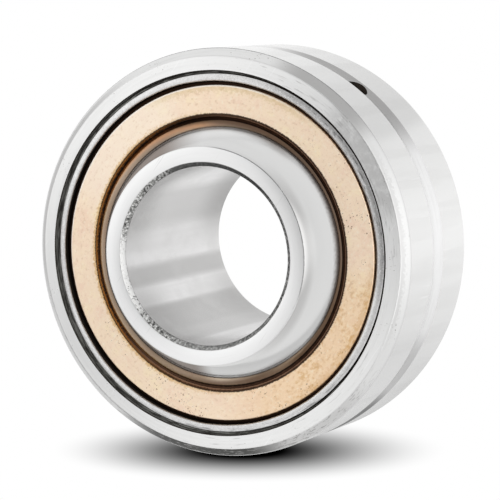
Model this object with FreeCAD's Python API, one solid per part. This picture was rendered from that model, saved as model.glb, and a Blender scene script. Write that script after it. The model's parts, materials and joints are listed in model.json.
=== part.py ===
import FreeCAD, Part
import math
import os

# Spherical plain bearing, steel on bronze, size 20.
# An outer steel ring holds a bronze race, and the race holds a steel ball with a bore.
# All lengths are in millimetres.
# The origin is the centre of the ball, and +Z runs along the bore.

# Inner ring: a ball with two flat faces and a bore for the shaft
bore_diameter = 20.0
inner_width = 25.0
bore_chamfer = 0.5
# flat ring on each end face, between the bore's chamfer and the ball's surface
end_land = 1.6938

# Bronze race: formed round the ball, so its seat is a sphere
seat_clearance = 0.03
race_wall = 2.2575
# the race's faces lie this far below the faces of the outer ring
race_recess = 0.3
# the outer corner leans back, and the outer ring's lip closes on it
race_chamfer = 0.95
# the corner round the ball, measured across the race's face
mouth_chamfer = 0.43

# Outer ring: the race lies in its bore, and the walls are measured from there
outer_width = 18.0
outer_wall = 3.25
outer_chamfer = 0.9

# Lip on each face: a thin collar, closed inwards over the race by staking
lip_thickness = 0.38
lip_overlap = 0.4
lip_recess = 0.05
# the staking tool breaks the lip's inner edge
lip_break = 0.12
# the V groove that the tool leaves behind the lip
staking_width = 0.45
staking_depth = 0.7
staking_floor = 0.1

# Grease way: a round-bottomed groove on the outside and one drilled hole
groove_width = 3.0
groove_depth = 0.35
hole_diameter = 2.5
# the drill runs this far past the metal at both ends
drill_overrun = 1.0

# Sizes that follow from the ones above
bore_radius = bore_diameter / 2
inner_half = inner_width / 2
flat_radius = bore_radius + bore_chamfer + end_land
ball_radius = math.hypot(flat_radius, inner_half)
seat_radius = ball_radius + seat_clearance
race_radius = seat_radius + race_wall
outer_radius = race_radius + outer_wall
outer_half = outer_width / 2
race_half = outer_half - race_recess


def point(radius, height):
    """A point of a turned profile, in the plane that holds the axis."""
    return FreeCAD.Vector(radius, 0, height)


def line(start, end):
    return Part.makeLine(point(*start), point(*end))


def arc(start, middle, end):
    return Part.Arc(point(*start), point(*middle), point(*end)).toShape()


def path(points):
    """Straight edges through the points, in order."""
    return [line(start, end) for start, end in zip(points, points[1:])]


def mirrored(points):
    """The same points on the other face, in the opposite order."""
    return [(radius, -height) for radius, height in reversed(points)]


def turned(edges):
    """The solid that a closed profile makes when it turns about the axis."""
    profile = Part.Face(Part.Wire(edges))
    return profile.revolve(FreeCAD.Vector(0, 0, 0), FreeCAD.Vector(0, 0, 1), 360)


def grease_hole():
    """A radial drill along +X, through both the outer ring and the race."""
    start = FreeCAD.Vector(seat_radius - drill_overrun, 0, 0)
    length = outer_radius - seat_radius + 2 * drill_overrun
    return Part.makeCylinder(hole_diameter / 2, length, start, FreeCAD.Vector(1, 0, 0))


def mouth_corners():
    """Both corners of the race's mouth: where its chamfer meets the seat, and the face."""
    face_radius = math.sqrt(seat_radius ** 2 - race_half ** 2) + mouth_chamfer
    total = face_radius + race_half
    beyond_seat = face_radius ** 2 + race_half ** 2 - seat_radius ** 2
    leg = (total - math.sqrt(total ** 2 - 2 * beyond_seat)) / 2
    return [(face_radius - leg, race_half - leg), (face_radius, race_half)]


def inner_ring():
    upper = [
        (bore_radius, inner_half - bore_chamfer),
        (bore_radius + bore_chamfer, inner_half),
        (flat_radius, inner_half),
    ]
    lower = mirrored(upper)
    ball = arc(upper[-1], (ball_radius, 0), lower[0])
    bore = line(lower[-1], upper[0])
    return turned(path(upper) + [ball] + path(lower) + [bore])


def bronze_race():
    upper = mouth_corners() + [
        (race_radius - race_chamfer, race_half),
        (race_radius, race_half - race_chamfer),
    ]
    lower = mirrored(upper)
    outside = line(upper[-1], lower[0])
    seat = arc(lower[-1], (seat_radius, 0), upper[0])
    return turned(path(upper) + [outside] + path(lower) + [seat]).cut(grease_hole())


def ring_face():
    """One face of the outer ring, from the race's bore out to the grease groove."""
    seat_height = race_half - race_chamfer
    lip_radius = race_radius - lip_overlap
    lip_height = outer_half - lip_recess
    lip_back = race_radius + lip_thickness
    floor_radius = lip_back + staking_width / 2
    floor_height = outer_half - staking_depth
    return [
        (race_radius, seat_height),
        (lip_radius, seat_height + lip_overlap),
        (lip_radius, lip_height - lip_break),
        (lip_radius + lip_break, lip_height),
        (lip_back, lip_height),
        (floor_radius - staking_floor / 2, floor_height),
        (floor_radius + staking_floor / 2, floor_height),
        (lip_back + staking_width, outer_half),
        (outer_radius - outer_chamfer, outer_half),
        (outer_radius, outer_half - outer_chamfer),
        (outer_radius, groove_width / 2),
    ]


def outer_ring():
    upper = ring_face()
    lower = mirrored(upper)
    groove = arc(upper[-1], (outer_radius - groove_depth, 0), lower[0])
    bore = line(lower[-1], upper[0])
    return turned(path(upper) + [groove] + path(lower) + [bore]).cut(grease_hole())


def save(name, shape):
    solid = shape.Solids[0]
    print("%s: solids %d, valid %s, volume %.1f" % (name, len(shape.Solids), solid.isValid(), solid.Volume))
    solid.exportStep("parts/%s.step" % name)


os.makedirs("parts", exist_ok=True)
print("bore %.3f, outside %.3f, widths %.3f and %.3f, ball %.4f"
      % (bore_diameter, 2 * outer_radius, inner_width, outer_width, 2 * ball_radius))
save("inner_ring", inner_ring())
save("bronze_race", bronze_race())
save("outer_ring", outer_ring())
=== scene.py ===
# %% [markdown]
# # A spherical plain bearing, turned, staked and photographed
#
# The object is a steel ball with a bore, a bronze race formed round it, and a steel outer ring
# that holds the race between two thin lips. All three pieces are turned parts, so this lesson
# is about lathe work in Blender: a profile of a few points, spun about the axis, with its
# corners broken by a small bevel. The finishes then do the rest: lathe lines, ground lands,
# painted shade in the gaps, painted shade and painted reflections on some sides, and small pits
# in the bronze.
#
# The imported model is the fixed frame. It says where each piece is and how large.

# %% Load the frame
import json
import math

import bmesh
import bpy
from mathutils import Matrix, Quaternion, Vector, noise


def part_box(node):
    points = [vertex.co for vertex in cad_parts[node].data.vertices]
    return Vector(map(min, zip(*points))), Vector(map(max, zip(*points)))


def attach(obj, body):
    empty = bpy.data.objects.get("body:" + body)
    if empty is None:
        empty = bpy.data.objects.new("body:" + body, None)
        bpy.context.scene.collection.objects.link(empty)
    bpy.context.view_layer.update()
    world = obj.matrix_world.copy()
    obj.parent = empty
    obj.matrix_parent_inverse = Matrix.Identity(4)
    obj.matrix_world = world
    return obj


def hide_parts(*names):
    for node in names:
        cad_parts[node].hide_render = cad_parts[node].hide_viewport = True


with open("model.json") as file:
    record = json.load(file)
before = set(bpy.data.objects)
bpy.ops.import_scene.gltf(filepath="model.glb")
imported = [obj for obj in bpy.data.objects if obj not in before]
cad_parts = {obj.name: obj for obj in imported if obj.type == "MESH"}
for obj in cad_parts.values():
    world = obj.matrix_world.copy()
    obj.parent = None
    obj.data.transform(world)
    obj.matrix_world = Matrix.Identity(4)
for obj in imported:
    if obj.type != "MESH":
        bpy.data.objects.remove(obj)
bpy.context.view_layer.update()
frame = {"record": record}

# %% [markdown]
# ## Sizes
#
# Every length that the frame knows is read from it: the boxes of the three nodes give the
# widths, and the two round mounts give the bore and the outside. The rest are the sizes of
# turned details, such as chamfers and the lip, in millimetres as a drawing would give them, and
# made metres by one factor.

# %% Sizes from the frame
MM = 0.001
mounts = {mount["name"]: mount for mount in frame["record"]["mounts"]}
bore_radius = mounts["bore"]["dims"]["r_mm"] * MM
outer_radius = mounts["outside"]["dims"]["r_mm"] * MM
inner_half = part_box("inner_ring")[1].z
race_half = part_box("bronze_race")[1].z
outer_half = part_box("outer_ring")[1].z
print("bore", bore_radius, "outside", outer_radius, "half widths", inner_half, race_half, outer_half)

# %% Sizes of the turned details
bore_chamfer = 0.5 * MM
end_land = 1.6938 * MM
flat_radius = bore_radius + bore_chamfer + end_land
ball_radius = math.hypot(flat_radius, inner_half)

seat_clearance = 0.03 * MM
seat_radius = ball_radius + seat_clearance
outer_wall = 3.25 * MM
race_radius = outer_radius - outer_wall
race_chamfer = 0.95 * MM
mouth_chamfer = 0.43 * MM

outer_chamfer = 0.9 * MM
groove_width = 3.0 * MM
groove_depth = 0.35 * MM
hole_radius = 1.25 * MM

lip_thickness = 0.38 * MM
lip_back = race_radius + lip_thickness
lip_overlap = 0.4 * MM
lip_recess = 0.05 * MM
lip_break = 0.12 * MM
lip_slope = 0.36 * MM
lip_fall = 0.06 * MM
staking_width = 0.45 * MM
staking_depth = 0.7 * MM
staking_floor = 0.2 * MM
print("ball radius in mm", round(ball_radius / MM, 4))

# %% [markdown]
# ## A small lathe
#
# A turned piece could be built from stacked cylinders and cones, but their seams would show in
# the metal's reflections. Here the profile is drawn once in the plane y = 0. Straight stretches
# join a few corners, and a round stretch is one vertex spun about the centre of its arc. A full
# spin about Z then makes the closed skin. Doubles are merged before the normals are turned
# outwards, because a spun mesh can come out inside out.

# %% The lathe
around_axis = 320
merge_distance = 0.0001 * MM


def corner(mesh, radius, height):
    return mesh.verts.new((radius, 0.0, height))


def straight(mesh, start, corners):
    """Straight cuts from one corner of the profile through the next ones."""
    for radius, height in corners:
        end = corner(mesh, radius, height)
        mesh.edges.new((start, end))
        start = end
    return start


def rounded(mesh, start, centre_radius, angle, steps):
    """A round cut: the corner swings about a centre that lies in the plane z = 0."""
    swing = bmesh.ops.spin(mesh, geom=[start], cent=(centre_radius, 0.0, 0.0), axis=(0.0, 1.0, 0.0),
                           angle=angle, steps=steps)
    return next(item for item in swing["geom_last"] if isinstance(item, bmesh.types.BMVert))


def turn(mesh):
    """Turns the whole profile about Z and closes the skin."""
    profile = mesh.verts[:] + mesh.edges[:]
    bmesh.ops.spin(mesh, geom=profile, axis=(0.0, 0.0, 1.0), angle=math.tau, steps=around_axis,
                   use_merge=True)
    bmesh.ops.remove_doubles(mesh, verts=mesh.verts, dist=merge_distance)
    bmesh.ops.recalc_face_normals(mesh, faces=mesh.faces)


def mirrored(corners):
    """The same corners on the other face, in the opposite order."""
    return [(radius, -height) for radius, height in reversed(corners)]


# %% [markdown]
# No real edge is sharp. A break of a few hundredths of a millimetre catches a thin line of
# light, and that line is what makes metal look like metal. The edges are found by the corner
# that swept them, and each group gets its own width, because a hand-broken edge is wider than
# one that a grinding wheel leaves.

# %% Broken edges
found_within = 0.002 * MM


def radius_of(vert):
    return math.hypot(vert.co.x, vert.co.y)


def swept_by(mesh, corners):
    """The circular edges that these corners of the profile have swept."""
    def at_corner(vert):
        here = Vector((radius_of(vert), vert.co.z))
        return any((here - Vector(spot)).length < found_within for spot in corners)
    marked = {vert for vert in mesh.verts if at_corner(vert)}
    rings = [edge for edge in mesh.edges if edge.verts[0] in marked and edge.verts[1] in marked]
    return [edge for edge in rings if abs(edge.verts[0].co.z - edge.verts[1].co.z) < found_within]


def break_edges(mesh, corners, width):
    """Rounds the edges at these corners, and at the same corners of the other face."""
    edges = swept_by(mesh, corners + mirrored(corners))
    bmesh.ops.bevel(mesh, geom=edges, offset=width, segments=3, profile=0.5, affect="EDGES",
                    clamp_overlap=True, material=-1)


# %% [markdown]
# All three pieces have the same plan: the corners of one face, one round cut across the middle
# to the other face, and that face's corners in the opposite order.

# %% A turned piece


def turn_piece(face, centre_radius, angle, steps, breaks):
    """Breaks are pairs: some of the face's corners, and the width that their edges get."""
    mesh = bmesh.new()
    first = corner(mesh, *face[0])
    top = straight(mesh, first, face[1:])
    foot = rounded(mesh, top, centre_radius, angle, steps)
    last = straight(mesh, foot, mirrored(face)[1:])
    mesh.edges.new((last, first))
    turn(mesh)
    for corners, width in breaks:
        break_edges(mesh, corners, width)
    return mesh


# %% [markdown]
# ## Finishes that several metals share
#
# A lathe leaves fine circles, a wheel leaves streaks along the bore, and years of handling leave
# specks, scratches and a dark line of grease at each edge. The mask for that line also carries
# painted shade, painted highlights and painted reflections along circles. Each of these is one
# node group with named inputs and one output, so that steel and bronze can use it with their own
# values. All of them read the object's own coordinates, because the pieces have no seams to
# unwrap. A decorator makes each group: the function under it only works out the output.

# %% Node helpers


def feed(tree, value, socket):
    """Gives a socket its value, which is a number, a tuple of numbers or a node's output."""
    if isinstance(value, bpy.types.NodeSocket):
        tree.links.new(value, socket)
    else:
        socket.default_value = value


def add_node(tree, kind, values=None, **settings):
    """Adds a shader node. Settings are its properties, and values go into its inputs."""
    node = tree.nodes.new("ShaderNode" + kind)
    for name, setting in settings.items():
        setattr(node, name, setting)
    for socket, value in (values or {}).items():
        feed(tree, value, node.inputs[socket])
    return node


def calculate(tree, operation, *values):
    """The result of a Math node."""
    node = add_node(tree, "Math", dict(enumerate(values)), operation=operation)
    return node.outputs["Value"]


def product(tree, value, *factors):
    for factor in factors:
        value = calculate(tree, "MULTIPLY", value, factor)
    return value


def vector_math(tree, operation, *values, **named_values):
    """The result of a Vector Math node."""
    inputs = {**dict(enumerate(values)), **named_values}
    node = add_node(tree, "VectorMath", inputs, operation=operation)
    return node.outputs["Value" if operation in ("LENGTH", "DOT_PRODUCT") else "Vector"]


def ramp(tree, value, low, high):
    """Goes smoothly from 0 at low to 1 at high."""
    values = {"Value": value, "From Min": low, "From Max": high}
    node = add_node(tree, "MapRange", values, interpolation_type="SMOOTHSTEP")
    return node.outputs["Result"]


def noise_node(tree, coordinates, scale, **values):
    """A Noise Texture. Values are its other inputs, such as Detail."""
    return add_node(tree, "TexNoise", {"Vector": coordinates, "Scale": scale, **values})


def separate(tree, coordinates):
    return add_node(tree, "SeparateXYZ", {"Vector": coordinates}).outputs


def polar(tree, coordinates):
    """Radius from the axis, height along it, and the direction as a unit vector."""
    parts = separate(tree, coordinates)
    flat = add_node(tree, "CombineXYZ", {"X": parts["X"], "Y": parts["Y"]}).outputs["Vector"]
    return vector_math(tree, "LENGTH", flat), parts["Z"], vector_math(tree, "NORMALIZE", flat)


def stretched(tree, direction, around, height, along):
    """A place for a noise, stretched by one number round the axis and by another along it."""
    scaled = vector_math(tree, "SCALE", direction, Scale=around)
    lifted = add_node(tree, "CombineXYZ", {"Z": product(tree, height, along)})
    return vector_math(tree, "ADD", scaled, lifted.outputs["Vector"])


def node_group(output, **values):
    """Makes a node group of the function below it. A value of None stands for a vector."""
    def finished(work_out):
        group = bpy.data.node_groups.new(work_out.__name__, "ShaderNodeTree")
        for name, value in {"Coordinates": None, **values}.items():
            kind = "NodeSocketVector" if value is None else "NodeSocketFloat"
            label = name.replace("_", " ")
            socket = group.interface.new_socket(label, in_out="INPUT", socket_type=kind)
            if value is not None:
                socket.default_value = value
        group.interface.new_socket(output, in_out="OUTPUT", socket_type="NodeSocketFloat")
        given = group.nodes.new("NodeGroupInput").outputs
        result = work_out(group, given)
        feed(group, result, group.nodes.new("NodeGroupOutput").inputs[output])
        return group
    return finished


# %% [markdown]
# Lathe lines change quickly across the tool's path and slowly along it. A noise in four
# dimensions gives that: radius and height are stretched by the fineness of the feed, and the
# direction round the axis by how soon a line breaks up.
#
# Streaks are the opposite: they run along the axis and change round it. A wheel or a hone
# leaves them on the outer lands and in the bore, and they turn soft reflections into bands.

# %% Lathe lines and axial streaks


@node_group("Height", Lines_per_metre=4000.0, Breaks_per_turn=3.0)
def lathe_lines(group, given):
    radius, height, direction = polar(group, given["Coordinates"])
    fineness = given["Lines per metre"]
    spot = stretched(group, direction, given["Breaks per turn"], height, fineness)
    across = product(group, radius, fineness)
    lines = noise_node(group, spot, 1.0, Detail=3.0, Roughness=0.6)
    lines.noise_dimensions = "4D"
    feed(group, across, lines.inputs["W"])
    return lines.outputs["Fac"]


@node_group("Height", Streaks=6.0, Drift=30.0)
def axial_streaks(group, given):
    _, height, direction = polar(group, given["Coordinates"])
    spot = stretched(group, direction, given["Streaks"], height, given["Drift"])
    return noise_node(group, spot, 1.0, Detail=4.0).outputs["Fac"]


# %% [markdown]
# Specks and pits sit in loose clusters. A Voronoi pattern gives one dot for each cell, the cell's
# own colour decides which dots are large enough to show, and a wide noise gathers them. A fine
# noise bends the coordinates first, so that no speck is a round dot.

# %% Specks
speck_bend = (0.3 * MM, 0.3 * MM, 0.3 * MM)


@node_group("Mask", Cells_per_metre=5600.0, Amount=1.0, Cluster=260.0)
def specks(group, given):
    coordinates = given["Coordinates"]
    bend = noise_node(group, coordinates, 7000.0).outputs["Color"]
    bent = vector_math(group, "MULTIPLY_ADD", bend, speck_bend, coordinates)
    cells = add_node(group, "TexVoronoi", {"Vector": bent, "Scale": given["Cells per metre"]})
    chance = add_node(group, "SeparateColor", {"Color": cells.outputs["Color"]}).outputs["Red"]
    gather = noise_node(group, coordinates, given["Cluster"], Detail=3.0).outputs["Fac"]
    crowd = product(group, ramp(group, gather, 0.40, 0.66), given["Amount"])
    reach = product(group, calculate(group, "POWER", chance, 4.0), crowd, 0.55)
    inside = calculate(group, "SUBTRACT", reach, cells.outputs["Distance"])
    return ramp(group, inside, 0.0, 0.12)


# %% [markdown]
# Grease and oxide collect along an edge and fade away from it, never evenly. The same mask also
# places painted shade, painted highlights and painted reflections along a circle. The edge of a
# turned part is a circle, so the mask needs only its radius: it is 1 on the circle and falls to 0
# over a width that a noise keeps changing.

# %% Dirt and painted light along a circle
narrowest_dirt = 0.01 * MM


@node_group("Mask", Radius=10.0 * MM, Width=0.3 * MM, Raggedness=0.8, Grain=3000.0)
def edge_dirt_and_painted_light(group, given):
    radius, _, _ = polar(group, given["Coordinates"])
    away = calculate(group, "ABSOLUTE", calculate(group, "SUBTRACT", radius, given["Radius"]))
    grain = noise_node(group, given["Coordinates"], given["Grain"], Detail=4.0, Roughness=0.7)
    swing = product(group, calculate(group, "SUBTRACT", grain.outputs["Fac"], 0.5), 4.0)
    share = calculate(group, "MULTIPLY_ADD", swing, given["Raggedness"], 1.0)
    width = product(group, given["Width"], share)
    widest = calculate(group, "MAXIMUM", width, narrowest_dirt)
    faded = ramp(group, away, product(group, width, 0.4), widest)
    return calculate(group, "SUBTRACT", 1.0, faded)


# %% [markdown]
# Handling scratches are short, straight and few. A noise that is squeezed hard in one direction
# has long thin ridges. Only the very top of a ridge counts as a scratch, and a wide noise lets
# them appear in some places and not in others.

# %% Scratches
scratch_squeeze = (160.0, 4200.0, 160.0)
scratch_turns = (0.5, 1.9)
scratch_shifts = (3.0, 17.0)


@node_group("Mask", Amount=0.5)
def scratches(group, given):
    total = 0.0
    for turn_angle, shift in zip(scratch_turns, scratch_shifts):
        squeeze = add_node(group, "Mapping", {
            "Vector": given["Coordinates"], "Location": (shift, shift, 0.0),
            "Rotation": (0.0, 0.0, turn_angle), "Scale": scratch_squeeze})
        lines = noise_node(group, squeeze.outputs["Vector"], 1.0, Detail=1.0)
        total = calculate(group, "MAXIMUM", total, ramp(group, lines.outputs["Fac"], 0.70, 0.78))
    where = noise_node(group, given["Coordinates"], 130.0).outputs["Fac"]
    crowd = ramp(group, calculate(group, "ADD", where, given["Amount"]), 0.8, 1.2)
    return product(group, total, crowd)


# %% [markdown]
# Some marks are not the same all the way round. A sector is a mask that is 1 towards one side of
# the piece and fades to both sides, and a mottle is a plain cloudy noise. With these two, a finish
# can be browner or darker on one side, mostly as painted shade or painted light, or carry a few
# painted bands of reflection along the bore.

# %% Sector and mottle


@node_group("Mask", Towards=None, Edge=0.9, Core=0.98)
def sector(group, given):
    _, _, direction = polar(group, given["Coordinates"])
    facing = vector_math(group, "DOT_PRODUCT", direction, given["Towards"])
    return ramp(group, facing, given["Edge"], given["Core"])


@node_group("Height", Clouds_per_metre=900.0)
def mottle(group, given):
    clouds = noise_node(group, given["Coordinates"], given["Clouds per metre"], Detail=5.0, Roughness=0.65)
    return clouds.outputs["Fac"]


print("node groups", [group.name for group in bpy.data.node_groups])

# %% [markdown]
# ## Metals
#
# Each finish is one material: a Principled shader with a base colour near the real metal's, and
# a roughness that the marks change. Metallic is 1, or 0 in the near-black gaps and corners, whose
# colour is painted shade, with brown oxide on the bronze. A cut that follows the lathe's circles
# stretches a highlight across them. That is anisotropy, and it needs a tangent: here the direction
# across the circles, from the normal and the axis. A decorator makes each finish as well, from a
# function that puts its marks on a metal.

# %% A metal with marks


class Metal:
    """A material that is put together step by step, from the shader outwards."""

    def __init__(self, name, colour, roughness, metallic=1.0):
        self.material = bpy.data.materials.new(name)
        self.material.use_nodes = True
        self.colour = (*colour, 1.0)
        self.material.diffuse_color = self.colour
        self.tree = self.material.node_tree
        self.coordinates = add_node(self.tree, "TexCoord").outputs["Object"]
        self.give("Base Color", self.colour)
        self.give("Metallic", metallic)
        self.give("Roughness", roughness)

    def give(self, name, value):
        """Feeds one input of the shader."""
        feed(self.tree, value, self.tree.nodes["Principled BSDF"].inputs[name])

    def mark(self, group, **values):
        """Places a node group on the object's coordinates and gives its output."""
        inputs = {name.replace("_", " "): value for name, value in values.items()}
        inputs["Coordinates"] = self.coordinates
        return add_node(self.tree, "Group", node_tree=group, values=inputs).outputs[0]

    def lines(self, per_metre, breaks):
        return self.mark(lathe_lines, Lines_per_metre=per_metre, Breaks_per_turn=breaks)

    def clouds(self, per_metre):
        return self.mark(mottle, Clouds_per_metre=per_metre)

    def rim(self, radius, width, ragged, grain=3000.0):
        """A mask along a circle, where the width is in millimetres."""
        return self.mark(edge_dirt_and_painted_light, Radius=radius, Width=width * MM, Raggedness=ragged, Grain=grain)

    def side(self, azimuth, reach, core=0.4):
        """A mask towards one side, where azimuth and reach are in degrees."""
        edge = math.cos(math.radians(reach))
        return self.mark(sector, Towards=direction_to(azimuth), Edge=edge,
                         Core=math.cos(math.radians(reach * core)))

    def part(self, value, low, high):
        """A mask where a height or another value goes from low to high."""
        return ramp(self.tree, value, low, high)

    def tint(self, colour, strength, *masks):
        """Mixes a colour over what is there, where all the masks are."""
        amount = product(self.tree, *masks, strength)
        # sockets 0, 6 and 7 of a colour mix are its factor and its two colours
        mixed = {0: amount, 6: self.colour, 7: (*colour, 1.0)}
        self.colour = add_node(self.tree, "Mix", data_type="RGBA", values=mixed).outputs[2]
        self.give("Base Color", self.colour)

    def roughen(self, mask, low, high):
        """Roughness goes from low to high with the mask."""
        self.give("Roughness", calculate(self.tree, "MULTIPLY_ADD", mask, high - low, low))

    def engrave(self, height, depth):
        """Turns a height between 0 and 1 into a bump that is depth millimetres deep."""
        bump = {"Strength": 1.0, "Distance": depth * MM, "Height": height}
        self.give("Normal", add_node(self.tree, "Bump", bump).outputs["Normal"])

    def brush(self, amount):
        """Stretches highlights across the lathe's circles."""
        self.give("Anisotropic", amount)
        axis = (0.0, 0.0, 1.0)
        circle = vector_math(self.tree, "CROSS_PRODUCT", axis, self.coordinates)
        turned = add_node(self.tree, "VectorTransform", {"Vector": circle},
                          vector_type="VECTOR", convert_from="OBJECT", convert_to="WORLD")
        normal = add_node(self.tree, "NewGeometry").outputs["Normal"]
        across = vector_math(self.tree, "CROSS_PRODUCT", normal, turned.outputs["Vector"])
        self.give("Tangent", vector_math(self.tree, "NORMALIZE", across))


def finish(colour, roughness, metallic=1.0):
    """Makes a material of the function below it, which puts the marks on a metal."""
    def finished(add_marks):
        metal = Metal(add_marks.__name__, colour, roughness, metallic)
        add_marks(metal)
        return metal.material
    return finished


def direction_to(azimuth, elevation=0.0):
    """A unit vector. Azimuth 0 is +X, and angles are in degrees."""
    around = math.radians(azimuth)
    up = math.radians(elevation)
    return Vector((math.cos(up) * math.cos(around), math.cos(up) * math.sin(around), math.sin(up)))


# %% Steel finishes
steel_colour = (0.80, 0.80, 0.795)
ball_colour = (0.78, 0.78, 0.775)
shade_colour = (0.60, 0.595, 0.59)
dark_shade = (0.36, 0.355, 0.35)
pale_colour = (0.92, 0.92, 0.92)
near_black = (0.10, 0.10, 0.10)
speck_colour = (0.16, 0.14, 0.12)


@finish(steel_colour, 0.30)
def turned_steel(metal):
    """The ring's faces: fine lathe circles, a few specks, handling scratches, painted shade to some sides.
    """
    lines = metal.lines(5200, 2)
    metal.tint(shade_colour, 0.20, metal.part(lines, 0.45, 0.75))
    cloudy = metal.part(metal.clouds(1500), 0.15, 0.60)
    # painted shade: darker towards some sides, broken up by clouds and by coarse lathe lines
    metal.tint(dark_shade, 0.44, metal.side(-23, 21, core=0.6), cloudy)
    shade_lines = metal.lines(3800, 9)
    metal.tint(dark_shade, 0.5, metal.side(-15, 60), metal.part(shade_lines, 0.55, 0.70))
    metal.tint(dark_shade, 0.4, metal.side(-120, 60), metal.part(shade_lines, 0.58, 0.70))
    metal.tint(pale_colour, 0.7, metal.mark(scratches, Amount=0.5))
    metal.tint(speck_colour, 0.5, metal.mark(specks, Amount=0.75))
    metal.roughen(lines, 0.24, 0.36)
    metal.engrave(lines, 0.006)
    metal.brush(0.80)


@finish((0.87, 0.87, 0.865), 0.30)
def chamfer_steel(metal):
    """The outer chamfers: a coarser cut than the faces, with shades painted on some sides."""
    lines = metal.lines(4200, 3)
    metal.tint(shade_colour, 0.25, metal.part(lines, 0.5, 0.8))
    # painted shade: a dark line and a softened edge towards two sides, darker towards three more, and dark
    # streaks on the lower side
    line = metal.rim(outer_radius - 0.62 * MM, 0.50, 0.3)
    metal.tint(dark_shade, 0.50, line, metal.side(106, 44))
    soft_edge = metal.rim(outer_radius - outer_chamfer, 0.55, 0.9)
    metal.tint(shade_colour, 0.45, soft_edge, metal.side(-50, 34))
    metal.tint(dark_shade, 0.70, metal.side(0, 20))
    metal.tint(shade_colour, 0.60, metal.side(-115, 26))
    metal.tint((0.05, 0.05, 0.047), 0.95, metal.side(-150, 30))
    rough_lines = metal.lines(5200, 30)
    metal.tint(dark_shade, 0.8, metal.side(-140, 60), metal.part(rough_lines, 0.52, 0.64))
    metal.tint(speck_colour, 0.6, metal.mark(specks, Amount=1.0))
    metal.roughen(lines, 0.24, 0.36)
    metal.engrave(lines, 0.008)
    metal.brush(0.50)


@finish((0.76, 0.755, 0.75), 0.36)
def lip_steel(metal):
    """The lip that the tool pressed over: torn a little, so full of fine specks, and painted shade to some
    sides.
    """
    grain = metal.clouds(5200)
    # painted shade towards two sides
    metal.tint(dark_shade, 0.55, metal.side(-24, 46, core=0.65))
    metal.tint(shade_colour, 0.60, metal.side(126, 26))
    metal.tint(dark_shade, 0.25, metal.part(grain, 0.50, 0.62))
    metal.tint(pale_colour, 0.6, metal.part(grain, 0.46, 0.34))
    # painted shade: dark streaks towards one side, and near black in the tool's lines over the outer half
    # towards another
    torn = metal.lines(4600, 16)
    metal.tint((0.14, 0.14, 0.14), 0.75, metal.side(-24, 44), metal.part(torn, 0.54, 0.64))
    tool_lines = metal.part(metal.lines(8000, 12), 0.48, 0.58)
    outer_part = metal.rim(lip_back, 0.45, 0.3)
    metal.tint(near_black, 0.55, outer_part, metal.side(-128, 50), tool_lines)
    metal.engrave(grain, 0.012)


@finish((0.020, 0.018, 0.016), 0.50, metallic=0.0)
def staked_steel(metal):
    """The V groove behind the lip: fine scraped lines, near black and grey, a painted shade deep in the
    groove.
    """
    lines = metal.lines(8000, 14)
    metal.tint((0.15, 0.15, 0.14), 0.9, metal.part(lines, 0.44, 0.60))
    metal.engrave(lines, 0.02)


@finish(steel_colour, 0.22)
def ground_steel(metal):
    """The two outer lands: ground smooth, with soft streaks along the axis."""
    streaks = metal.mark(axial_streaks, Streaks=9.0, Drift=25.0)
    metal.tint(shade_colour, 0.18, metal.part(streaks, 0.48, 0.62))
    metal.tint(pale_colour, 0.5, metal.mark(scratches, Amount=0.4))
    metal.roughen(streaks, 0.14, 0.26)


@finish((0.90, 0.90, 0.90), 0.34)
def groove_steel(metal):
    """The grease groove: left as the form tool cut it, and darker round the hole and towards two other
    sides, in painted shade.
    """
    lines = metal.lines(3600, 5)
    metal.tint(shade_colour, 0.2, metal.part(lines, 0.4, 0.75))
    # painted shade towards three sides, one of them round the hole
    metal.tint(dark_shade, 0.80, metal.side(3, 30))
    metal.tint(dark_shade, 0.45, metal.side(-94, 18))
    metal.tint(near_black, 0.80, metal.side(-119, 22))
    metal.roughen(lines, 0.30, 0.44)
    metal.engrave(lines, 0.010)


@finish((0.013, 0.010, 0.008), 0.55, metallic=0.0)
def recess_shade_steel(metal):
    """Walls of gaps and of the drilled hole: near black, a painted shade of their depth, with faint grey
    lines.
    """
    metal.give("Specular IOR Level", 0.25)
    lines = metal.lines(9000, 40)
    metal.tint((0.16, 0.14, 0.12), 0.2, metal.part(lines, 0.5, 0.9))
    metal.engrave(lines, 0.02)


def make_edge_steel(name, azimuth, reach):
    """A broken edge with painted shade that shows it as a thin grey line on one side of the piece."""
    metal = Metal(name, ball_colour, 0.30)
    uneven = metal.part(metal.clouds(2600), 0.2, 0.5)
    metal.tint((0.24, 0.24, 0.24), 0.85, metal.side(azimuth, reach, core=0.8), uneven)
    return metal.material


ring_edge_steel = make_edge_steel("ring_edge_steel", 88, 115)
ball_edge_steel = make_edge_steel("ball_edge_steel", -22, 58)

# %% [markdown]
# The ball is the one polished surface. Beside the race it carries a brown band of painted
# reflection of the bronze and painted shade: warm and pale on one side, dark on the other, and
# narrowed to a thin line in between. Its end faces are ground almost white, with painted shade
# towards one side, and its bore is honed, with painted reflections in bands.

# %% Ball finishes
contact_radius = math.sqrt(seat_radius ** 2 - race_half ** 2)
reflection_brown = (0.25, 0.20, 0.17)
# painted bands of brown reflection and shade on the ball: width in millimetres and raggedness of a band,
# then side, colour and strength
painted_ball_bands = [
    (6, 0, (118, 82, 0.65), reflection_brown, 0.90),
    (6, 0, (-164, 24, 0.5), reflection_brown, 0.85),
    (6, 0, (124, 38, 0.5), (0.15, 0.11, 0.09), 0.75),
    (1.5, 0.05, (-148, 55, 0.4), (0.11, 0.08, 0.068), 0.92),
    (1.5, 0.05, (70, 44, 0.6), (0.58, 0.33, 0.19), 0.80),
    (0.75, 0.10, (-25, 100, 0.75), (0.11, 0.08, 0.065), 0.92),
    (1.3, 0.05, (18, 26, 0.4), (0.16, 0.12, 0.10), 0.80),
    (0.50, 0.2, (139, 85, 0.7), (0.06, 0.04, 0.03), 0.85),
]
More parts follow.
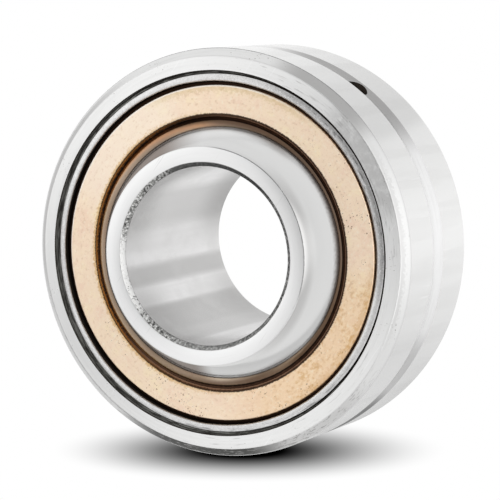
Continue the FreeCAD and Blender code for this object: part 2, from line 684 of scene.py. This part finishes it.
# painted reflections in bands along the bore: azimuth and reach in degrees, share of full strength, and
# strength
painted_bore_bands = [
    (97, 19, 0.4, 0.52),
    (119, 14, 0.3, 0.14),
    (143, 9, 0.3, 0.62),
    (183, 20.5, 0.8, 0.50),
    (176, 14, 0.5, 0.40),
    (200, 18, 0.2, 0.30),
]


@finish(ball_colour, 0.10)
def polished_steel(metal):
    """The ball's sphere: polished, with painted brown reflection and painted shade next to the race."""
    haze = metal.lines(700, 1.5)
    metal.tint(shade_colour, 0.15, metal.part(haze, 0.45, 0.8))
    for width, ragged, (azimuth, reach, core), colour, strength in painted_ball_bands:
        painted_band = metal.rim(contact_radius, width, ragged)
        metal.tint(colour, strength, painted_band, metal.side(azimuth, reach, core))
    # painted shade over the ball beside its flat, towards one side, to dim a highlight
    metal.tint(shade_colour, 0.85, metal.rim(flat_radius, 1.0, 0.0), metal.side(-58, 62))
    metal.roughen(haze, 0.07, 0.15)


@finish((0.89, 0.89, 0.89), 0.34)
def end_steel(metal):
    """The inner ring's end faces: ground flat, near white."""
    lines = metal.lines(6500, 3)
    metal.tint(shade_colour, 0.10, metal.part(lines, 0.5, 0.8))
    # painted shade over most of the face, and more towards one side
    metal.tint(shade_colour, 0.16, metal.side(-20, 140, core=0.5))
    metal.tint(shade_colour, 0.12, metal.side(-38, 40))
    metal.tint(shade_colour, 0.5, metal.mark(scratches, Amount=0.55))
    metal.tint(speck_colour, 0.3, metal.mark(specks, Amount=0.05))
    metal.roughen(lines, 0.28, 0.40)
    metal.brush(0.60)


@finish((0.80, 0.795, 0.795), 0.24)
def bore_steel(metal):
    """The bore: honed and streaked along the axis, painted reflections in bands, painted shade at the
    mouths.
    """
    # painted reflections in bands, then painted shade near the mouths towards two sides
    for azimuth, reach, core, strength in painted_bore_bands:
        metal.tint(dark_shade, strength, metal.side(azimuth, reach, core))
    depth = calculate(metal.tree, "ABSOLUTE", separate(metal.tree, metal.coordinates)["Z"])
    near_mouth = metal.part(depth, 3.0 * MM, 11.0 * MM)
    metal.tint(dark_shade, 0.75, near_mouth, metal.side(82, 48))
    metal.tint(dark_shade, 0.50, near_mouth, metal.side(184, 44))
    metal.tint(shade_colour, 0.40, metal.part(metal.clouds(130), 0.45, 0.65))
    streaks = metal.mark(axial_streaks, Streaks=14.0, Drift=60.0)
    metal.tint(shade_colour, 0.10, metal.part(streaks, 0.42, 0.66))
    metal.roughen(streaks, 0.18, 0.30)


@finish((0.34, 0.34, 0.33), 0.45)
def rough_steel(metal):
    """The bore's chamfer: cut rough, dark and speckled, with painted light, mid grey and painted shade to
    sides.
    """
    grain = metal.clouds(3400)
    metal.tint((0.85, 0.85, 0.84), 0.9, metal.side(142, 34))
    metal.tint((0.86, 0.86, 0.85), 1.0, metal.part(grain, 0.52, 0.60))
    metal.tint((0.04, 0.04, 0.04), 1.0, metal.part(grain, 0.47, 0.39))
    metal.tint((0.40, 0.40, 0.395), 0.45, metal.side(-128, 50, core=0.5))
    metal.tint((0.80, 0.80, 0.79), 0.80, metal.side(132, 17, core=0.5))
    metal.tint(near_black, 0.85, metal.side(25, 42, core=0.7))
    metal.engrave(grain, 0.03)


# %% [markdown]
# The bronze is a pale orange tan. Its face was turned and has since been worn matt, it is
# pitted, browner in patches, and stained dark along both of its edges, with painted shade in the
# corners beyond them. Painted shade makes it more orange towards one side, painted light paler
# towards another, and a painted highlight runs along its outer edge on one side.

# %% Bronze finishes
bronze_colour = (0.98, 0.795, 0.61)
brown_colour = (0.58, 0.36, 0.20)
stain_colour = (0.035, 0.018, 0.010)
pale_bronze = (1.0, 0.90, 0.76)
mouth_radius = contact_radius + mouth_chamfer
face_radius = race_radius - race_chamfer


@finish(bronze_colour, 0.42)
def turned_bronze(metal):
    """The race's end faces: turned, worn matt, mottled and pitted, with painted shade and light to some
    sides.
    """
    lines = metal.lines(4600, 6)
    clouds = metal.clouds(420)
    fine_clouds = metal.clouds(2300)
    torn = metal.lines(2900, 34)
    metal.tint(brown_colour, 0.14, metal.part(lines, 0.5, 0.85))
    metal.tint((1.0, 0.84, 0.60), 0.8, metal.part(clouds, 0.50, 0.68))
    metal.tint((0.94, 0.72, 0.56), 0.8, metal.part(clouds, 0.50, 0.34))
    # painted shade: more orange towards one side, with darker orange patches there
    shaded_orange_side = metal.side(-99, 46)
    metal.tint((0.93, 0.68, 0.43), 0.60, shaded_orange_side)
    patches = metal.part(clouds, 0.38, 0.60)
    metal.tint((0.72, 0.42, 0.16), 0.55, shaded_orange_side, patches, metal.part(torn, 0.42, 0.62))
    # painted light: paler towards another side
    metal.tint((1.0, 0.90, 0.78), 0.5, metal.side(80, 34))
    metal.tint(brown_colour, 0.22, metal.part(fine_clouds, 0.54, 0.70))
    metal.tint(brown_colour, 0.28, metal.part(torn, 0.56, 0.70))
    metal.tint((1.0, 0.90, 0.75), 0.45, metal.part(fine_clouds, 0.46, 0.34))
    metal.tint(pale_bronze, 0.6, metal.mark(scratches, Amount=0.45))
    pits = metal.mark(specks, Amount=1.1)
    metal.tint((0.22, 0.11, 0.05), 0.75, pits, metal.side(-110, 125, core=0.6))
    metal.tint((0.66, 0.38, 0.08), 0.60, metal.rim(mouth_radius, 0.50, 0.9), metal.side(135, 110))
    rim_dirt = metal.rim(face_radius, 0.9, 0.8)
    metal.tint((0.62, 0.46, 0.20), 0.75, rim_dirt, torn, metal.side(30, 40))
    metal.tint((0.66, 0.38, 0.14), 0.75, rim_dirt, torn, metal.side(-85, 36))
    # a painted highlight along the outer edge, towards one side
    metal.tint((1.0, 0.95, 0.88), 0.8, metal.rim(face_radius, 0.16, 0.3), metal.side(70, 80))
    metal.tint(stain_colour, 0.95, metal.rim(mouth_radius, 0.16, 0.8, grain=6000.0))
    metal.roughen(lines, 0.36, 0.50)
    metal.engrave(lines, 0.008)
    metal.brush(0.35)


@finish((0.014, 0.007, 0.004), 0.50, metallic=0.0)
def oxide_and_shade_bronze(metal):
    """Corners of the race: near black as painted shade in the gaps, with brown oxide over the bronze."""
    metal.give("Specular IOR Level", 0.25)
    lines = metal.lines(7000, 50)
    at_mouth = metal.rim(mouth_radius, 1.5, 0.0)
    metal.tint((0.20, 0.07, 0.015), 0.7, at_mouth, metal.part(lines, 0.5, 0.8))
    # painted shade: darker and browner towards the near side, warmer towards the far side, browner at the
    # rim on one side
    near_side = metal.side(-75, 130, core=0.7)
    metal.tint((0.19, 0.105, 0.065), 0.85, at_mouth, near_side)
    fringe = metal.rim(mouth_radius, 0.20, 1.0, grain=6000.0)
    metal.tint((0.26, 0.10, 0.02), 0.7, fringe, metal.side(139, 100))
    metal.tint((0.012, 0.006, 0.003), 0.9, fringe, near_side)
    at_rim = metal.rim(face_radius, 0.14, 0.6)
    metal.tint((0.30, 0.17, 0.085), 0.8, at_rim, metal.side(-60, 95, core=0.6))
    metal.engrave(lines, 0.02)


print("materials", [material.name for material in bpy.data.materials])

# %% [markdown]
# ## From mesh to piece
# A finished mesh becomes an object at the origin. Each face takes the finish of the zone that
# it lies in. The grease hole is cut by a Boolean with a cylinder, the way a drill would cut it,
# and the cut faces keep the cutter's own near-black material, a painted shade of the hole's
# depth. Weighted normals keep the wide flat faces flat in their shading, while the small breaks
# between them stay round.

# %% Making pieces
sharp_from = math.radians(50)


def place_of(face):
    """Radius from the axis and height above or below the middle plane."""
    middle = face.calc_center_median()
    return math.hypot(middle.x, middle.y), abs(middle.z)


def new_object(name, data):
    """Places a mesh, lamp or camera in the scene."""
    item = bpy.data.objects.new(name, data)
    bpy.context.scene.collection.objects.link(item)
    return item


def make_piece(name, mesh, materials, zone_of, reshape=None):
    """An object from a bmesh. zone_of says which of the materials a face has."""
    for face in mesh.faces:
        face.smooth = True
        face.material_index = materials.index(zone_of(face))
    if reshape is not None:
        reshape(mesh)
    data = bpy.data.meshes.new(name)
    mesh.to_mesh(data)
    mesh.free()
    for material in materials:
        data.materials.append(material)
    return new_object(name, data)


def drill_cutter(material):
    """A cylinder along +X, longer than the wall that it goes through."""
    overrun = 1.0 * MM
    length = outer_radius - seat_radius + 2 * overrun
    middle = (outer_radius + seat_radius) / 2
    mesh = bmesh.new()
    place = Matrix.Translation((middle, 0.0, 0.0)) @ Matrix.Rotation(math.pi / 2, 4, "Y")
    bmesh.ops.create_cone(mesh, cap_ends=True, segments=72, radius1=hole_radius,
                          radius2=hole_radius, depth=length, matrix=place)
    return make_piece("drill", mesh, [material], lambda face: material)


def drill(piece, material):
    """Cuts the grease hole and leaves the result in the piece's own mesh."""
    cutter = drill_cutter(material)
    cut = piece.modifiers.new("grease_hole", "BOOLEAN")
    cut.operation = "DIFFERENCE"
    cut.solver = "EXACT"
    cut.object = cutter
    graph = bpy.context.evaluated_depsgraph_get()
    drilled = bpy.data.meshes.new_from_object(piece.evaluated_get(graph))
    piece.modifiers.clear()
    piece.data = drilled
    bpy.data.objects.remove(cutter)


def finish_piece(piece, body, node):
    """Flat faces stay flat in the shading, and the piece takes the node's place."""
    piece.data.set_sharp_from_angle(angle=sharp_from)
    shading = piece.modifiers.new("flat_faces", "WEIGHTED_NORMAL")
    shading.keep_sharp = True
    shading.weight = 100
    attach(piece, body)
    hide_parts(node)
    print(piece.name, "faces", len(piece.data.polygons))


# %% [markdown]
# ## The outer ring
#
# One turned piece of steel: chamfers at both corners, a round-bottomed groove for grease, and
# on each face a V groove that leaves a thin lip. The staking tool pushed that lip inwards over
# the bronze and left its edge slightly uneven, which a noise of a few hundredths copies.

# %% Turn the outer ring
seat_height = race_half - race_chamfer
lip_radius = race_radius - lip_overlap
lip_height = outer_half - lip_recess
floor_radius = lip_back + staking_width / 2
floor_height = outer_half - staking_depth
face_edge = lip_back + staking_width
groove_arc = (groove_width ** 2 / 4 + groove_depth ** 2) / (2 * groove_depth)
groove_centre = outer_radius - groove_depth + groove_arc
groove_angle = 2 * math.asin(groove_width / 2 / groove_arc)

lip_top = (lip_radius + lip_break, lip_height)
lip_outer = (lip_back, lip_height - lip_fall)
face_inner = (face_edge, outer_half)
face_outer = (outer_radius - outer_chamfer, outer_half)
land_top = (outer_radius, outer_half - outer_chamfer)
land_foot = (outer_radius, groove_width / 2)
corner_break = 0.10 * MM
ring_breaks = [([face_outer, land_top], corner_break), ([land_foot], 0.06 * MM),
               ([face_inner], 0.08 * MM), ([lip_outer], 0.03 * MM), ([lip_top], 0.04 * MM)]
ring_face = [
    (race_radius, seat_height),
    (lip_radius, seat_height + lip_overlap),
    (lip_radius, lip_height - lip_break),
    lip_top,
    (lip_back - lip_slope, lip_height),
    lip_outer,
    (floor_radius - staking_floor / 2, floor_height),
    (floor_radius + staking_floor / 2, floor_height),
    face_inner,
    face_outer,
    land_top,
    land_foot,
]
ring_mesh = turn_piece(ring_face, groove_centre, -groove_angle, 18, ring_breaks)


# %% [markdown]
# The staking tool stood a little off the axis. Its groove is wide on one side and nearly closed
# on the other, and the lip reaches further in where the groove is narrow. The lip's underside
# slides along the race's leaning corner, so it stays in touch with the bronze.

# %% The staked lip
stake_reach = 0.45 * MM
stake_swing = 0.035 * MM
stakes_per_turn = 7.0
off_centre_towards = direction_to(139)
groove_off_centre = 0.25 * MM
groove_closing = 0.07 * MM
lip_off_centre = 0.13 * MM
# the two faces read the noise at places this far apart from the middle
face_apart = 5.0
staked_within = face_edge + 0.2 * MM
# how far a face's middle may lie from the edge of its zone
margin = 0.02 * MM


def stake(mesh):
    """Moves the V groove and the lip's inner edge off the axis, and leaves that edge uneven."""
    for vert in mesh.verts:
        radius = radius_of(vert)
        if abs(vert.co.z) < seat_height + lip_overlap / 2 or radius > staked_within:
            continue
        direction = Vector((vert.co.x, vert.co.y, 0.0)) / radius
        near_lip = max(0.0, 1.0 - abs(radius - lip_radius) / stake_reach)
        spot = direction * stakes_per_turn + Vector((0.0, 0.0, math.copysign(face_apart, vert.co.z)))
        uneven = direction * stake_swing * noise.noise(spot)
        lip_move = (off_centre_towards * lip_off_centre + uneven) * near_lip
        if abs(vert.co.z) < lip_height - 2 * lip_break:
            vert.co.z -= math.copysign(lip_move.dot(direction), vert.co.z)
        past_lip = min(1.0, max(0.0, (radius - lip_back) / staking_width))
        groove_move = off_centre_towards * groove_off_centre - direction * groove_closing
        vert.co += lip_move + groove_move * past_lip


def ring_zone(face):
    """The finish of a face, from the outside in."""
    radius, height = place_of(face)
    if radius > outer_radius - margin:
        return ground_steel
    if radius > outer_radius - groove_depth * 1.05 and height < groove_width / 2:
        return groove_steel
    if radius > outer_radius - 0.9 * corner_break:
        return ring_edge_steel
    if radius > outer_radius - outer_chamfer + margin:
        return chamfer_steel
    if radius < lip_radius + 1.5 * margin and height < lip_height - lip_break:
        return recess_shade_steel
    if height > floor_height - margin and lip_back + margin < radius < face_edge + groove_closing:
        scraped = radius > floor_radius - 3.0 * margin and height < outer_half - corner_break
        return staked_steel if scraped else recess_shade_steel
    if height > lip_height - lip_break - lip_fall and radius < lip_back + margin:
        return lip_steel
    return turned_steel


ring_finishes = [turned_steel, ground_steel, groove_steel, recess_shade_steel, chamfer_steel, lip_steel,
                 staked_steel, ring_edge_steel]
outer_ring = make_piece("grooved_ring", ring_mesh, ring_finishes, ring_zone, reshape=stake)
drill(outer_ring, recess_shade_steel)
finish_piece(outer_ring, "outer", "outer_ring")

# %% [markdown]
# ## The bronze race
#
# The race was pressed round the ball, so its seat is the same sphere with a running gap of a
# few hundredths. Its outer corners lean back under the lips, and a small chamfer opens its
# mouth. Both corners of that chamfer follow from where a 45 degree cut meets the sphere.

# %% Turn the race
mouth_total = mouth_radius + race_half
mouth_beyond = mouth_radius ** 2 + race_half ** 2 - seat_radius ** 2
mouth_leg = (mouth_total - math.sqrt(mouth_total ** 2 - 2 * mouth_beyond)) / 2
mouth_corner = (mouth_radius, race_half)
rim_corner = (face_radius, race_half)
race_face = [
    (race_radius, race_half - race_chamfer),
    rim_corner,
    mouth_corner,
    (mouth_radius - mouth_leg, race_half - mouth_leg),
]
race_breaks = [([mouth_corner], 0.06 * MM), ([rim_corner], 0.08 * MM)]
seat_angle = 2 * math.asin(race_face[-1][1] / seat_radius)
race_mesh = turn_piece(race_face, 0.0, seat_angle, 28, race_breaks)
rim_end = face_radius + 3.0 * margin


def race_zone(face):
    """Turned bronze on the end faces, and near-black bronze, oxide with painted shade, elsewhere."""
    radius, _ = place_of(face)
    level = abs(face.normal.z) > 0.75
    return turned_bronze if level and mouth_radius - margin < radius < rim_end else oxide_and_shade_bronze


race_finishes = [turned_bronze, oxide_and_shade_bronze, recess_shade_steel]
race = make_piece("bronze_seat", race_mesh, race_finishes, race_zone)
drill(race, recess_shade_steel)
finish_piece(race, "outer", "bronze_race")

# %% [markdown]
# ## The ball
#
# A sphere with two flats and a bore. The polished sphere is one round cut from flat to flat,
# with enough steps that its reflections stay smooth.

# %% Turn the ball
ball_angle = 2 * math.asin(inner_half / ball_radius)
ball_face = [
    (bore_radius, inner_half - bore_chamfer),
    (bore_radius + bore_chamfer, inner_half),
    (flat_radius, inner_half),
]
flat_break = 0.06 * MM
ball_breaks = [(ball_face[2:], flat_break), (ball_face[:2], 0.05 * MM)]
ball_mesh = turn_piece(ball_face, 0.0, ball_angle, 56, ball_breaks)


def ball_zone(face):
    """The finish of a face, from the bore out to the sphere."""
    radius, height = place_of(face)
    if radius < bore_radius + margin / 2:
        return bore_steel
    if radius < bore_radius + bore_chamfer - margin / 2:
        return rough_steel
    if height > inner_half - found_within and radius < flat_radius:
        return end_steel
    if height > inner_half - flat_break:
        return ball_edge_steel
    return polished_steel


ball_finishes = [polished_steel, end_steel, bore_steel, rough_steel, ball_edge_steel]
ball = make_piece("bored_ball", ball_mesh, ball_finishes, ball_zone)
finish_piece(ball, "inner", "inner_ring")

# %% [markdown]
# ## The studio
#
# The photograph was taken on white with white light from all sides. Metal shows only what it
# mirrors, so the studio is part of the finish. Light and dark panels hang in the world for the
# metals' reflections, and one soft lamp stands above. The floor is white to the camera, with one
# soft shade where the ring comes closest to it, and the metals see it at a level that changes
# round the bearing.

# %% Floor
table_height = -inner_half
floor_reach = 2.0
paper_white = 0.92
mirrored_paper = 0.15
mirrored_in_bore = 0.80
# inside the first radius the metals see the bore's level, and outside the second the ring's
under_part = outer_radius * 0.95
beside_part = outer_radius * 1.02
# what the metals mirror of the floor: azimuth in degrees, and the level there
mirrored_floor = [(-180, 0.66), (-95, 0.63), (-48, 0.92), (-26, 0.79), (-15, 0.74),
                  (-11, 0.61), (8, 0.63), (50, 0.85), (110, 0.70), (180, 0.66)]
# the soft shade where the ring comes closest to the table: middle, turn, half lengths and core
shade_middle = (-25.5 * MM, -9.6 * MM, table_height)
shade_turn = math.radians(-50)
shade_half = (26.9 * MM, 4.0 * MM, 1.0)
shade_core = 0.18


def mirrored_levels(tree, coordinates):
    """The level that the metals see, which changes round the bearing and under its bore."""
    parts = separate(tree, coordinates)
    azimuth = calculate(tree, "ARCTAN2", parts["Y"], parts["X"])
    turned = calculate(tree, "MULTIPLY_ADD", azimuth, 1.0 / math.tau, 0.5)
    levels = add_node(tree, "ValToRGB", {"Fac": turned})
    stops = levels.color_ramp.elements
    while len(stops) < len(mirrored_floor):
        stops.new(0.5)
    for stop, (degrees, level) in zip(stops, mirrored_floor):
        stop.position = degrees / 360.0 + 0.5
        stop.color = (level, level, level, 1.0)
    radius, _, _ = polar(tree, coordinates)
    outside = ramp(tree, radius, under_part, beside_part)
    change = calculate(tree, "SUBTRACT", levels.outputs["Color"], mirrored_in_bore)
    return calculate(tree, "MULTIPLY_ADD", outside, change, mirrored_in_bore)


def make_floor_material():
    """White paper with one soft shade for the camera, and a mirrored level for the metals."""
    material = bpy.data.materials.new("white_sweep")
    material.use_nodes = True
    tree = material.node_tree
    tree.nodes.remove(tree.nodes["Principled BSDF"])
    path = add_node(tree, "LightPath").outputs
    camera = path["Is Camera Ray"]
    glossy = path["Is Glossy Ray"]
    coordinates = add_node(tree, "TexCoord").outputs["Object"]

    seen_as_paper = calculate(tree, "MULTIPLY_ADD", camera, -paper_white, paper_white)
    less_in_metal = mirrored_paper - paper_white
    colour = calculate(tree, "MULTIPLY_ADD", glossy, less_in_metal, seen_as_paper)
    paper = add_node(tree, "BsdfDiffuse", {"Color": colour})

    place = add_node(tree, "Mapping", vector_type="TEXTURE", values={
        "Vector": coordinates, "Location": shade_middle,
        "Rotation": (0.0, 0.0, shade_turn), "Scale": shade_half})
    from_middle = vector_math(tree, "LENGTH", place.outputs["Vector"])
    seen = product(tree, camera, ramp(tree, from_middle, shade_core, 1.0))
    mirrored = product(tree, glossy, mirrored_levels(tree, coordinates))
    glow = add_node(tree, "Emission", {"Strength": calculate(tree, "ADD", seen, mirrored)})

    both = add_node(tree, "AddShader", {0: paper.outputs["BSDF"], 1: glow.outputs["Emission"]})
    feed(tree, both.outputs["Shader"], tree.nodes["Material Output"].inputs["Surface"])
    return material


grid = bmesh.new()
bmesh.ops.create_grid(grid, x_segments=1, y_segments=1, size=floor_reach,
                      matrix=Matrix.Translation((0.0, 0.0, table_height)))
sweep = make_floor_material()
sheet = make_piece("studio_floor", grid, [sweep], lambda face: sweep)

# %% World
glossy_top = 0.73
glossy_horizon = 0.90
top_from = 0.75
darkest_mirrored = 0.02
diffuse_level = 0.06
# the share of a panel's reach where it is at full strength
panel_core = 0.35
# azimuth, elevation and reach in degrees, and what a panel adds or, where it is dark, takes
panels = [
    (-51, 55, 42, 0.83),
    (111, 51, 25, 0.62),
    (176, 44, 31, 0.26),
    (16, 86, 21, -1.15),
    (154, 14, 25, -0.86),
    (143, 54, 22, 0.08),
]


def make_world():
    """White to the camera, panels of light to the metals, and dim to the floor."""
    world = bpy.data.worlds.new("white_tent")
    bpy.context.scene.world = world
    world.use_nodes = True
    tree = world.node_tree
    direction = add_node(tree, "TexCoord").outputs["Generated"]
    height = ramp(tree, separate(tree, direction)["Z"], 0.0, top_from)
    mirrored = calculate(tree, "MULTIPLY_ADD", height, glossy_top - glossy_horizon, glossy_horizon)
    for azimuth, elevation, reach, change in panels:
        facing = vector_math(tree, "DOT_PRODUCT", direction, direction_to(azimuth, elevation))
        edge = math.cos(math.radians(reach))
        core = math.cos(math.radians(reach * panel_core))
        mirrored = calculate(tree, "MULTIPLY_ADD", ramp(tree, facing, edge, core), change, mirrored)
    mirrored = calculate(tree, "MAXIMUM", mirrored, darkest_mirrored)
    path = add_node(tree, "LightPath").outputs
    more_for_metal = calculate(tree, "SUBTRACT", mirrored, diffuse_level)
    level = calculate(tree, "MULTIPLY_ADD", path["Is Glossy Ray"], more_for_metal, diffuse_level)
    level = calculate(tree, "MULTIPLY_ADD", path["Is Camera Ray"], 1.0 - diffuse_level, level)
    background = tree.nodes["Background"].inputs
    feed(tree, level, background["Strength"])
    feed(tree, (1.0, 1.0, 1.0, 1.0), background["Color"])


make_world()

# %% Lamp
key_towards = direction_to(-7, 69)
key_distance = 0.40
key_size = 0.12
key_watts = 2.0

light = bpy.data.lights.new("key_softbox", "AREA")
light.shape = "SQUARE"
light.size = key_size
light.energy = key_watts
lamp = new_object("key_softbox", light)
lamp.location = key_towards * key_distance
lamp.rotation_euler = (-key_towards).to_track_quat("-Z", "Y").to_euler()
# the metals don't mirror it
lamp.visible_glossy = False

# %% [markdown]
# ## The camera
#
# The bearing rests on an end face, so the camera looks down on it and is rolled until the bore
# points the way it does in the photograph. Its place was fitted to the circles of the rings.

# %% Camera
camera_azimuth = -41.08
camera_elevation = 64.19
camera_distance = 305.9 * MM
camera_roll = 102.09
camera_lens = 191.485
sensor_width = 36.0
aim = Vector((-0.458 * MM, -0.09 * MM, 0.0))

optics = bpy.data.cameras.new("photo_camera")
optics.sensor_width = sensor_width
optics.sensor_fit = "HORIZONTAL"
optics.lens = camera_lens
optics.clip_start = 0.01
optics.clip_end = 10.0
camera = new_object("photo_camera", optics)
towards = direction_to(camera_azimuth, camera_elevation)
camera.location = aim + towards * camera_distance
upright = (-towards).to_track_quat("-Z", "Y")
roll = Quaternion((0.0, 0.0, 1.0), -math.radians(camera_roll))
camera.rotation_euler = (upright @ roll).to_euler()
print("camera at", [round(value / MM, 2) for value in camera.location])
bpy.context.scene.camera = camera
bpy.context.scene.view_settings.view_transform = "Standard"
